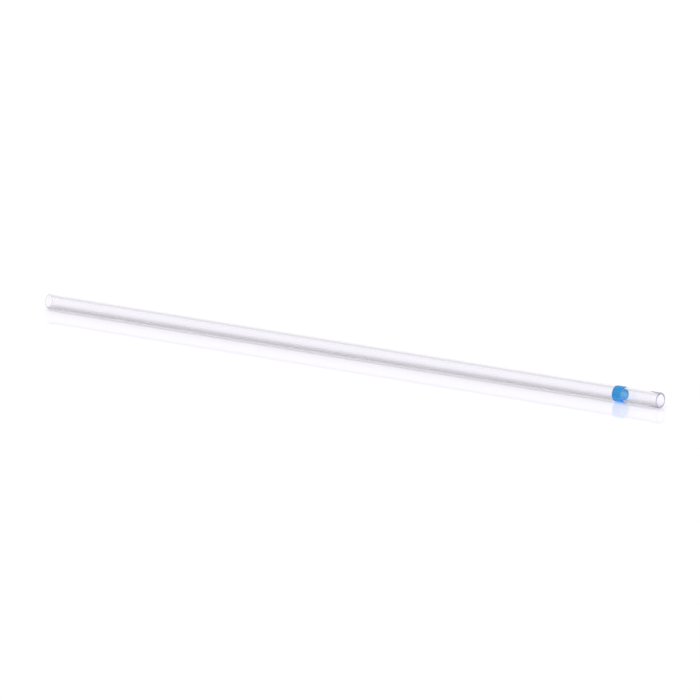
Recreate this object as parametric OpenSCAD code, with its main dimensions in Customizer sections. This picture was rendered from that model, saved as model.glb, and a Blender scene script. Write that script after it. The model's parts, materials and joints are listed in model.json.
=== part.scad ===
// Micro-haematocrit capillary tube: a drawn glass tube, open at both ends, with one fired ink ring.
// It lies along X on the plane z = 0, with the ringed end at +X. Millimetres.

/* [Tube] */
// Length of the tube over both rims
tube_length = 75; // [30:1:150]
// Outer diameter of the drawn glass
tube_outer_d = 1.5; // [1.3:0.05:3]
// Thickness of the glass wall
tube_wall = 0.2; // [0.1:0.01:0.4]

/* [Fire-polished rims] */
// Radius that the flame leaves on the inner and outer edge of each rim
rim_edge_r = 0.07; // [0.02:0.01:0.12]
// Narrowest ring of the sawn end that the flame leaves flat
rim_land_min = 0.02; // [0.01:0.01:0.04]

/* [Colour ring] */
// Glass left clear between the ringed end and the ring
ring_setback = 4.25; // [1:0.05:15]
// Width of the ring along the tube
ring_width = 1; // [0.5:0.1:5]
// Thickness of the fired ink on the glass
ring_thickness = 0.02; // [0.015:0.005:0.05]

/* [Hidden] */
$fn = 96;
tube_outer_r = tube_outer_d / 2;
tube_bore_r = tube_outer_r - tube_wall;
// The rim's edges stay clear of each other when the wall is thin.
rim_r = min(rim_edge_r, (tube_wall - rim_land_min) / 2);
// The ring is the lowest thing on the tube, so the axis lies this far above the surface.
axis_height = tube_outer_r + ring_thickness;
ring_end_x = tube_length / 2 - ring_setback;

// Carries a shape drawn around Z from the origin upwards onto the tube's own axis, starting at start_x.
module along_tube(start_x) {
    translate([start_x, 0, axis_height])
        rotate([0, 90, 0])
            children();
}

// Lengthwise section of one wall, with its four edges rounded by the flame.
module wall_section() {
    translate([tube_bore_r, rim_r])
        square([tube_wall, tube_length - 2 * rim_r]);
    translate([tube_bore_r + rim_r, 0])
        square([tube_wall - 2 * rim_r, tube_length]);
    for (edge_r = [tube_bore_r + rim_r, tube_outer_r - rim_r], edge_z = [rim_r, tube_length - rim_r])
        translate([edge_r, edge_z])
            circle(r = rim_r);
}

// The drawn tube: one wall turned about the axis, open from rim to rim.
module glass_tube() {
    color([0.86, 0.9, 0.92, 0.45])
        along_tube(-tube_length / 2)
            rotate_extrude()
                wall_section();
}

// The ink ring, laid on the outside of the glass near one end.
module colour_ring() {
    color([0.1, 0.5, 0.82])
        along_tube(ring_end_x - ring_width)
            rotate_extrude()
                translate([tube_outer_r, 0])
                    square([ring_thickness, ring_width]);
}

glass_tube();
colour_ring();
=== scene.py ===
"""A glass capillary tube with a blue ring near one end, lying on a pale glossy bench.

Lengths are in metres and angles in radians.
"""

import json
import math

import bpy
from mathutils import Matrix, Vector


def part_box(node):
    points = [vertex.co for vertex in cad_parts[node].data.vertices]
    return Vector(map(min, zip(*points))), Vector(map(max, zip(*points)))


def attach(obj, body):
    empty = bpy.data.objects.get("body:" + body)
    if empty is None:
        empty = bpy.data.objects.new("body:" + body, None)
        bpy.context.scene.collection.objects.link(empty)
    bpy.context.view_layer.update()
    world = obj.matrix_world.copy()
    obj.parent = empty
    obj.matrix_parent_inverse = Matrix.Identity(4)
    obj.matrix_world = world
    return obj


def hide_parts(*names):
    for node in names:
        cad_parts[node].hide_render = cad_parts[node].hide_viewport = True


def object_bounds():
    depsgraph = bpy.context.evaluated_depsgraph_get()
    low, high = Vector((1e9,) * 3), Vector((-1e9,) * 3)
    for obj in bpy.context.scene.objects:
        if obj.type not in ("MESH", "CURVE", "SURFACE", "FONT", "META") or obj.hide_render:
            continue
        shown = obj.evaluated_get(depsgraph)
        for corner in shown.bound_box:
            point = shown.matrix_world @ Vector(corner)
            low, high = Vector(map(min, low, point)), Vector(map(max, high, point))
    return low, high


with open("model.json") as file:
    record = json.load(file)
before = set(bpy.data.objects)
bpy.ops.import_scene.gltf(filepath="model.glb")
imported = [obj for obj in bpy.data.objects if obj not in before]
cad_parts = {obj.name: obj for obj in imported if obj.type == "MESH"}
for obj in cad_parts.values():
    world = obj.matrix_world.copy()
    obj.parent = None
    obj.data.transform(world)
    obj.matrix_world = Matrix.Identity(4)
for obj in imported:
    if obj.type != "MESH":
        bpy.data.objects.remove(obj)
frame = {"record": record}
cad_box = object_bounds()


# ---------------------------------------------------------------- Camera
# A long lens well back from the bench, looking down at the ringed end of the tube.
# The tube lies slantwise across the picture, with the ringed end nearer, and fills its width.
CAMERA_AZIMUTH = math.radians(39)
CAMERA_HEIGHT_ANGLE = math.radians(13)
CAMERA_ROLL = math.radians(-1.1)
CAMERA_DISTANCE = 1.35
PICTURE_SHARE = 0.87
GLASS_BOUNCES = 600
UNCUT_BOUNCES = 16

low, high = (Vector(corner) for corner in cad_box)
look_at = (low + high) / 2
to_camera = Vector(
    (
        math.sin(CAMERA_AZIMUTH) * math.cos(CAMERA_HEIGHT_ANGLE),
        -math.cos(CAMERA_AZIMUTH) * math.cos(CAMERA_HEIGHT_ANGLE),
        math.sin(CAMERA_HEIGHT_ANGLE),
    )
)
camera_data = bpy.data.cameras.new("camera")
shown_width = (high.x - low.x) * math.cos(CAMERA_AZIMUTH)
camera_data.lens = camera_data.sensor_width * CAMERA_DISTANCE * PICTURE_SHARE / shown_width
camera = bpy.data.objects.new("camera", camera_data)
turn = to_camera.to_track_quat("Z", "Y").to_matrix().to_4x4() @ Matrix.Rotation(CAMERA_ROLL, 4, "Z")
camera.matrix_world = Matrix.Translation(look_at + to_camera * CAMERA_DISTANCE) @ turn
bpy.context.scene.collection.objects.link(camera)
bpy.context.scene.camera = camera
bpy.context.scene.view_settings.view_transform = "Standard"
# Light runs a long way inside a glass wall before it leaves it, and none of its paths through
# the tube's four surfaces is cut short by chance.
for kind in ("max_bounces", "glossy_bounces", "transmission_bounces"):
    setattr(bpy.context.scene.cycles, kind, GLASS_BOUNCES)
bpy.context.scene.cycles.min_light_bounces = UNCUT_BOUNCES


# ---------------------------------------------------------------- Bench
# A sheet of white glossy acrylic on a light table, far larger than the tube, so that it runs past
# the picture on every side. Its polished face mirrors the tube faintly, and the light that comes
# up through it keeps the tube's shadow pale.
class Link:
    """One output in a node tree. Arithmetic on it adds Math nodes; node() adds any other node."""

    def __init__(self, tree, socket=None):
        self.tree, self.socket = tree, socket

    def node(self, kind, settings=None, values=None, output=0):
        """Adds a node: its settings first, then its sockets' values or links."""
        made = self.tree.nodes.new(kind)
        for name, setting in (settings or {}).items():
            setattr(made, name, setting)
        for name, value in (values or {}).items():
            if isinstance(value, Link):
                self.tree.links.new(value.socket, made.inputs[name])
            else:
                made.inputs[name].default_value = value
        return Link(self.tree, made.outputs[output] if made.outputs else None)

    def math(self, operation, *numbers):
        return self.node("ShaderNodeMath", {"operation": operation}, dict(enumerate(numbers)))

    def __add__(self, other):
        return self.math("ADD", self, other)

    def __radd__(self, other):
        return self.math("ADD", other, self)

    def __sub__(self, other):
        return self.math("SUBTRACT", self, other)

    def __rsub__(self, other):
        return self.math("SUBTRACT", other, self)

    def __mul__(self, other):
        return self.math("MULTIPLY", self, other)

    def __rmul__(self, other):
        return self.math("MULTIPLY", other, self)

    def __truediv__(self, other):
        return self.math("DIVIDE", self, other)


def new_material(name):
    """An empty node material, and a Link with which to fill it."""
    material = bpy.data.materials.new(name)
    material.use_nodes = True
    material.node_tree.nodes.clear()
    return material, Link(material.node_tree)


def finish_material(surface, inside=None):
    """Ends a material with its surface and, where light is lost inside it, its volume."""
    values = {"Surface": surface}
    if inside:
        values["Volume"] = inside
    surface.node("ShaderNodeOutputMaterial", None, values)


def mottle(tree, stretch, detail=2.0):
    """Noise in the piece's own metres, with a blotch about as long as stretch along each axis."""
    place = tree.node("ShaderNodeTexCoord", output="Object")
    scale = tuple(1 / length for length in stretch)
    spread = tree.node("ShaderNodeMapping", None, {"Vector": place, "Scale": scale})
    return tree.node("ShaderNodeTexNoise", None, {"Vector": spread, "Scale": 1.0, "Detail": detail})


# The sockets of a Mix node set to colours, by number because their names repeat for each type.
MIX_FACTOR, MIX_COLOUR_A, MIX_COLOUR_B, MIX_RESULT = 0, 6, 7, 2


def blend_colours(tree, mask, colour_a, colour_b):
    """From one colour to another as the mask goes from 0 to 1; either may itself be a Link."""
    values = {MIX_FACTOR: mask}
    for place, colour in ((MIX_COLOUR_A, colour_a), (MIX_COLOUR_B, colour_b)):
        values[place] = colour if isinstance(colour, Link) else (*colour, 1)
    return tree.node("ShaderNodeMix", {"data_type": "RGBA"}, values, output=MIX_RESULT)


BENCH_HALF_WIDTH = 8.0
BENCH_CLOUD = 0.05
BENCH_DEEP = (0.85, 0.845, 0.85)
BENCH_PALE = (0.87, 0.865, 0.87)
BENCH_SMOOTHEST = 0.05
BENCH_HAZE = 0.03
BENCH_IOR = 1.45
BENCH_GLOW = (0.97, 0.96, 0.98, 1)
BENCH_GLOW_STRENGTH = 0.3

acrylic, tree = new_material("white_acrylic")
cloud = mottle(tree, (BENCH_CLOUD, BENCH_CLOUD, BENCH_CLOUD))
finish_material(
    tree.node(
        "ShaderNodeBsdfPrincipled",
        None,
        {
            "Base Color": blend_colours(tree, cloud, BENCH_DEEP, BENCH_PALE),
            "Roughness": BENCH_SMOOTHEST + BENCH_HAZE * cloud,
            "IOR": BENCH_IOR,
            "Emission Color": BENCH_GLOW,
            "Emission Strength": BENCH_GLOW_STRENGTH,
        },
    )
)
bench_mesh = bpy.data.meshes.new("bench")
corners = [
    (x * BENCH_HALF_WIDTH, y * BENCH_HALF_WIDTH, 0) for x, y in ((-1, -1), (1, -1), (1, 1), (-1, 1))
]
bench_mesh.from_pydata(corners, [], [(0, 1, 2, 3)])
bench_mesh.materials.append(acrylic)
bench = bpy.data.objects.new("bench", bench_mesh)
bpy.context.scene.collection.objects.link(bench)


# ---------------------------------------------------------------- Light
# A large softbox overhead in a pale room. The far walls are as bright as the bench, the near wall
# and the ceiling round the softbox are a cool grey, and they draw the edges of the clear glass.
SOFTBOX_SIDE = 0.9
SOFTBOX_HEIGHT = 1.1
SOFTBOX_POWER = 3.3
WALL_LIGHT = (0.965, 0.96, 0.97)
NEAR_WALL_LIGHT = (0.4, 0.38, 0.5)
CEILING_LIGHT = (0.33, 0.32, 0.4)
# Where the wall starts to fade into the ceiling, and where the fade ends, as the sine of the
# angle above the bench; and where the far walls fade into the near one, as the cosine of the
# angle from the camera's side.
WALL_TOP = 0.5
CEILING_FROM = 0.85
NEAR_WALL_EDGE = 0.2
NEAR_WALL_FULL = 0.85

softbox_data = bpy.data.lights.new("softbox", "AREA")
softbox_data.shape = "SQUARE"
softbox_data.size = SOFTBOX_SIDE
softbox_data.energy = SOFTBOX_POWER
softbox = bpy.data.objects.new("softbox", softbox_data)
softbox.location = look_at + Vector((0, 0, SOFTBOX_HEIGHT))
bpy.context.scene.collection.objects.link(softbox)


def fade(tree, value, start, end):
    """Goes smoothly from 0 to 1 as the value goes from start to end."""
    values = {"Value": value, "From Min": start, "From Max": end}
    return tree.node("ShaderNodeMapRange", {"interpolation_type": "SMOOTHSTEP"}, values)


room = bpy.data.worlds.new("room")
room.use_nodes = True
room.node_tree.nodes.clear()
bpy.context.scene.world = room
sky = Link(room.node_tree)
direction = sky.node("ShaderNodeTexCoord", output="Generated")
height = sky.node("ShaderNodeSeparateXYZ", None, {0: direction}, output="Z")
level_to_camera = Vector((to_camera.x, to_camera.y, 0)).normalized()
nearness = sky.node(
    "ShaderNodeVectorMath",
    {"operation": "DOT_PRODUCT"},
    {0: direction, 1: level_to_camera},
    output="Value",
)
near_side = fade(sky, nearness, NEAR_WALL_EDGE, NEAR_WALL_FULL)
wall_colour = blend_colours(sky, near_side, WALL_LIGHT, NEAR_WALL_LIGHT)
room_colour = blend_colours(sky, fade(sky, height, WALL_TOP, CEILING_FROM), wall_colour, CEILING_LIGHT)
background = sky.node("ShaderNodeBackground", None, {"Color": room_colour})
sky.node("ShaderNodeOutputWorld", None, {"Surface": background})


# ---------------------------------------------------------------- Glass tube
# One length of clear soda-lime glass, drawn down from a cane and sawn off. Both sawn ends are
# passed through a flame, which rounds the inner and outer edge of each rim.
WAVER_DETAIL = 4.0
END_SEED_STEP = 7


def turned_wall_tree():
    """Geometry nodes for a wall turned about X: a rounded section swept round a circle."""
    group = bpy.data.node_groups.new("turned_wall", "GeometryNodeTree")
    sizes = {
        "Start": "NodeSocketFloat",
        "Length": "NodeSocketFloat",
        "Inner Radius": "NodeSocketFloat",
        "Wall": "NodeSocketFloat",
        "Edge Radius": "NodeSocketFloat",
        "Edge Points": "NodeSocketInt",
        "Axis Height": "NodeSocketFloat",
        "Longest Step": "NodeSocketFloat",
        "Sides": "NodeSocketInt",
        "Waver": "NodeSocketFloat",
        "Waves": "NodeSocketFloat",
        "Seed": "NodeSocketFloat",
        "Material": "NodeSocketMaterial",
    }
    for name, kind in sizes.items():
        group.interface.new_socket(name, in_out="INPUT", socket_type=kind)
    group.interface.new_socket("Geometry", in_out="OUTPUT", socket_type="NodeSocketGeometry")
    tree = Link(group)
    inputs = group.nodes.new("NodeGroupInput")
    size = {name: Link(group, inputs.outputs[name]) for name in sizes}

    # The section: a long rectangle with its corners rounded, then its long runs cut into steps.
    section_size = {"Width": size["Wall"], "Height": size["Length"]}
    outline = tree.node("GeometryNodeCurvePrimitiveQuadrilateral", None, section_size)
    edge = {"Count": size["Edge Points"], "Radius": size["Edge Radius"], "Limit Radius": True}
    rounded = tree.node("GeometryNodeFilletCurve", {"mode": "POLY"}, {"Curve": outline, **edge})
    here = tree.node("GeometryNodeInputPosition")
    following = tree.node("GeometryNodeOffsetPointInCurve", None, {"Offset": 1}, output="Point Index")
    of_points = {"data_type": "FLOAT_VECTOR", "domain": "POINT"}
    there = tree.node("GeometryNodeFieldAtIndex", of_points, {"Value": here, "Index": following})
    distance = {"operation": "DISTANCE"}
    run = tree.node("ShaderNodeVectorMath", distance, {0: here, 1: there}, output="Value")
    cuts = tree.math("FLOOR", run / size["Longest Step"])
    section = tree.node("GeometryNodeSubdivideCurve", None, {"Curve": rounded, "Cuts": cuts})

    # Swept round a circle through the middle of the wall.
    middle = size["Inner Radius"] + 0.5 * size["Wall"]
    circle_size = {"Resolution": size["Sides"], "Radius": middle}
    circle = tree.node("GeometryNodeCurvePrimitiveCircle", None, circle_size)
    swept = tree.node("GeometryNodeCurveToMesh", None, {"Curve": circle, "Profile Curve": section})

    # Each end wanders along the axis by up to the waver, and the run between them stretches with
    # it. Its sign sets the two ends far apart in the noise, so that they wander differently.
    along = tree.node("ShaderNodeSeparateXYZ", None, {0: here}, output="Z")
    share = along / (0.5 * size["Length"])
    flat = tree.node("ShaderNodeVectorMath", {"operation": "MULTIPLY"}, {0: here, 1: (1, 1, 0)})
    way_round = tree.node("ShaderNodeVectorMath", {"operation": "NORMALIZE"}, {0: flat})
    seed = size["Seed"] + END_SEED_STEP * tree.math("SIGN", along)
    waves = {"Vector": way_round, "W": seed, "Scale": size["Waves"], "Detail": WAVER_DETAIL}
    noise = tree.node("ShaderNodeTexNoise", {"noise_dimensions": "4D"}, waves)
    drift = size["Waver"] * (2 * noise - 1) * share
    shift = tree.node("ShaderNodeCombineXYZ", None, {"Z": drift})
    wavy = tree.node("GeometryNodeSetPosition", None, {"Geometry": swept, "Offset": shift})

    # Laid along X on its own axis.
    centre = {"X": size["Start"] + 0.5 * size["Length"], "Z": size["Axis Height"]}
    place = tree.node("ShaderNodeCombineXYZ", None, centre)
    onto_x = {"Geometry": wavy, "Translation": place, "Rotation": (0, math.pi / 2, 0)}
    laid = tree.node("GeometryNodeTransform", None, onto_x)
    smooth = tree.node("GeometryNodeSetShadeSmooth", None, {"Geometry": laid})
    real = tree.node("GeometryNodeRealizeInstances", None, {"Geometry": smooth})
    done = tree.node("GeometryNodeSetMaterial", None, {"Geometry": real, "Material": size["Material"]})
    tree.node("NodeGroupOutput", None, {"Geometry": done})
    return group


turned_wall = turned_wall_tree()


def turn_wall(name, **sizes):
    """Evaluates the tree with these sizes and returns the result as a plain mesh object."""
    holder = bpy.data.objects.new(name + "_holder", bpy.data.meshes.new(name + "_holder"))
    bpy.context.scene.collection.objects.link(holder)
    modifier = holder.modifiers.new("turned_wall", "NODES")
    modifier.node_group = turned_wall
    for socket in turned_wall.interface.items_tree:
        if socket.in_out == "INPUT":
            modifier[socket.identifier] = sizes[socket.name.lower().replace(" ", "_")]
    bpy.context.view_layer.update()
    graph = bpy.context.evaluated_depsgraph_get()
    mesh = bpy.data.meshes.new_from_object(holder.evaluated_get(graph))
    mesh.name = name
    bpy.data.objects.remove(holder)
    piece = bpy.data.objects.new(name, mesh)
    bpy.context.scene.collection.objects.link(piece)
    return piece


SIDES = 128
EDGE_POINTS = 7
GLASS_EDGE_RADIUS = 0.00007
GLASS_STEP = 0.0015
GLASS_IOR = 1.52
GLASS_DEEP = (0.94, 0.932, 0.952)
GLASS_PALE = (0.96, 0.954, 0.967)
GLASS_DEPTH = {"Color": (0.66, 0.62, 0.74, 1), "Density": 12.0}
DRAW_LINE = (0.15, 0.0004, 0.0004)
DRAW_LINE_BUMP = {"Strength": 0.05, "Distance": 0.000002}
DRAW_LINE_HAZE = 0.012

tube_low, tube_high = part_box("glass_tube")
outer_radius = (tube_high.z - tube_low.z) / 2
axis_height = (tube_high.z + tube_low.z) / 2
mounts = {mount["name"]: mount for mount in frame["record"]["mounts"]}
bore_radius = mounts["bore"]["dims"]["r_mm"] / 1000

glass, tree = new_material("clear_glass")
# Draw lines: long faint ripples along the tube, fine round it.
draw_lines = mottle(tree, DRAW_LINE)
finish_material(
    tree.node(
        "ShaderNodeBsdfPrincipled",
        None,
        {
            "Base Color": blend_colours(tree, draw_lines, GLASS_DEEP, GLASS_PALE),
            "Roughness": DRAW_LINE_HAZE * draw_lines,
            "IOR": GLASS_IOR,
            "Transmission Weight": 1.0,
            "Normal": tree.node("ShaderNodeBump", None, {**DRAW_LINE_BUMP, "Height": draw_lines}),
        },
    ),
    tree.node("ShaderNodeVolumeAbsorption", None, GLASS_DEPTH),
)
tube = turn_wall(
    "drawn_glass",
    start=tube_low.x,
    length=tube_high.x - tube_low.x,
    inner_radius=bore_radius,
    wall=outer_radius - bore_radius,
    edge_radius=GLASS_EDGE_RADIUS,
    edge_points=EDGE_POINTS,
    axis_height=axis_height,
    longest_step=GLASS_STEP,
    sides=SIDES,
    waver=0.0,
    waves=1.0,
    seed=0.0,
    material=glass,
)
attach(tube, "root")
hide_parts("glass_tube")


# ---------------------------------------------------------------- Colour ring
# A ring of blue ceramic ink, rolled onto the turning tube and fired. Its edges wander slightly,
# and its thin coat lets light through, more in some places than others. A faint painted glow, an
# emission, stands in for light that reaches it from behind. A film of air under it keeps light running
# along the glass.
INK_GAP = 0.000002
INK_EDGE_RADIUS = 0.000008
INK_STEP = 0.00008
INK_WAVER = 0.00006
INK_WAVES = 1.8
INK_SEED = 3.0
INK_DEEP = (0.008, 0.26, 0.98)
INK_PALE = (0.04, 0.42, 1.0)
INK_COAT = (0.0005, 0.0004, 0.0004)
INK_COAT_DETAIL = 3.0
INK_GRAIN = (0.00006, 0.00006, 0.00006)
INK_GRAIN_SHARE = 0.3
INK_BUMP = {"Strength": 0.3, "Distance": 0.000006}
INK_SMOOTHEST = 0.3
INK_HAZE = 0.25
INK_TRANSLUCENCY_AND_PAINTED_GLOW = {
    "Subsurface Weight": 1.0,
    "Subsurface Radius": (0.3, 0.9, 1.0),
    "Subsurface Scale": 0.00015,
    # Painted glow: this emission is no lamp. It stands in for light passing through the thin ink from
    # behind.
    "Emission Color": (0.0, 0.22, 1.0, 1),
    "Emission Strength": 0.16,
}

ring_low, ring_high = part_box("colour_ring")
ring_radius = (ring_high.z - ring_low.z) / 2
ring_inner_radius = outer_radius + INK_GAP

ink, tree = new_material("blue_ink")
coat = mottle(tree, INK_COAT, INK_COAT_DETAIL)
grain = mottle(tree, INK_GRAIN)
cover = (1 - INK_GRAIN_SHARE) * coat + INK_GRAIN_SHARE * grain
finish_material(
    tree.node(
        "ShaderNodeBsdfPrincipled",
        None,
        {
            "Base Color": blend_colours(tree, cover, INK_DEEP, INK_PALE),
            "Roughness": INK_SMOOTHEST + INK_HAZE * grain,
            "Normal": tree.node("ShaderNodeBump", None, {**INK_BUMP, "Height": grain}),
            **INK_TRANSLUCENCY_AND_PAINTED_GLOW,
        },
    )
)
ring = turn_wall(
    "fired_ring",
    start=ring_low.x,
    length=ring_high.x - ring_low.x,
    inner_radius=ring_inner_radius,
    wall=ring_radius - ring_inner_radius,
    edge_radius=INK_EDGE_RADIUS,
    edge_points=EDGE_POINTS,
    axis_height=axis_height,
    longest_step=INK_STEP,
    sides=SIDES,
    waver=INK_WAVER,
    waves=INK_WAVES,
    seed=INK_SEED,
    material=ink,
)
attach(ring, "root")
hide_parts("colour_ring")
